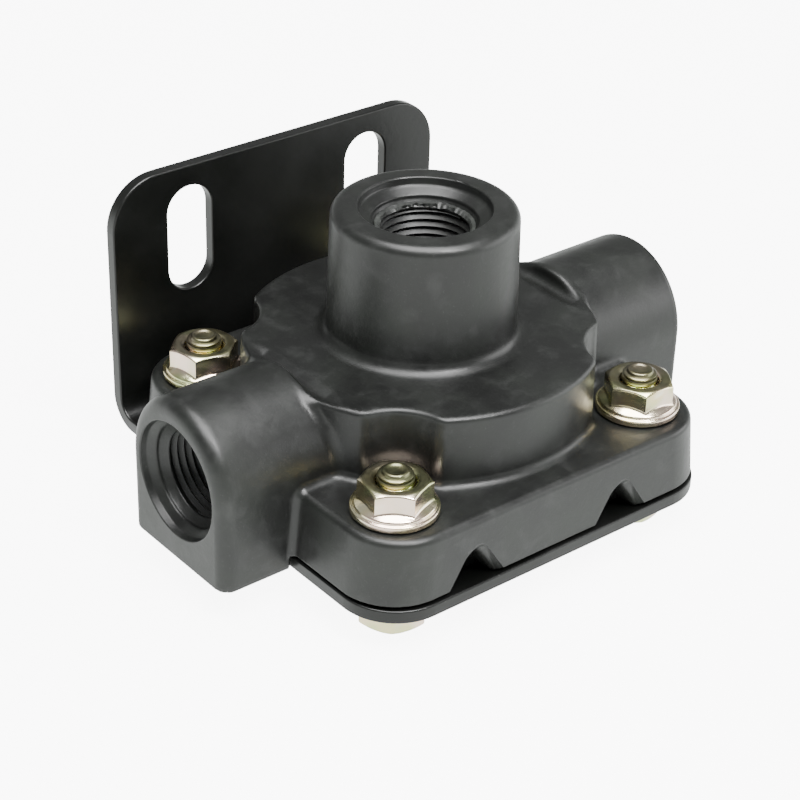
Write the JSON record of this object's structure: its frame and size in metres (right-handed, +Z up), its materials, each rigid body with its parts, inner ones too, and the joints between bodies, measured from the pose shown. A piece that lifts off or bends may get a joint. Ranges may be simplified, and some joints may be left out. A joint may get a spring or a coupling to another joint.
{
  "type": "quick exhaust valve",
  "caption": "Quick exhaust valve with a supply port on top, delivery ports on both sides, an exhaust below and a folded slotted mounting bracket.",
  "frame": {"origin": "centre of the valve's outer box on the plane of the bolt heads' undersides", "axes": "+X along the two delivery ports, +Y towards the bracket's upright and out of its mounting face, +Z up out of the supply port"},
  "size_m": [0.105, 0.0836, 0.058],
  "materials": {
    "body_nylon": "moulded glass-filled nylon, black, satin",
    "bracket_paint": "black paint on steel sheet, semi-gloss",
    "yellow_zinc": "yellow chromated zinc plating with green and pink tints",
    "rubber": "black nitrile rubber",
    "seat_brass": "turned brass",
    "spring_steel": "drawn spring wire"
  },
  "bodies": {
    "valve": {"valve_body": "body_nylon", "mounting_bracket": "bracket_paint", "exhaust_cover": "body_nylon", "cover_o_ring": "rubber", "diaphragm_spring": "spring_steel", "cover_bolt_1": "yellow_zinc", "cover_bolt_2": "yellow_zinc", "cover_bolt_3": "yellow_zinc", "cover_bolt_4": "yellow_zinc", "flange_nut_1": "yellow_zinc", "flange_nut_2": "yellow_zinc", "flange_nut_3": "yellow_zinc", "flange_nut_4": "yellow_zinc"},
    "poppet": {"diaphragm": "rubber", "spring_seat": "seat_brass"}
  },
  "joints": [
    {"name": "diaphragm_lift", "type": "slide", "parent": "valve", "child": "poppet", "axis": [0, 0, 1], "range_m": [0, 0.002], "stiffness_N_per_m": 300, "springref_m": -0.002, "deforming": ["diaphragm_spring"]}
  ]
}
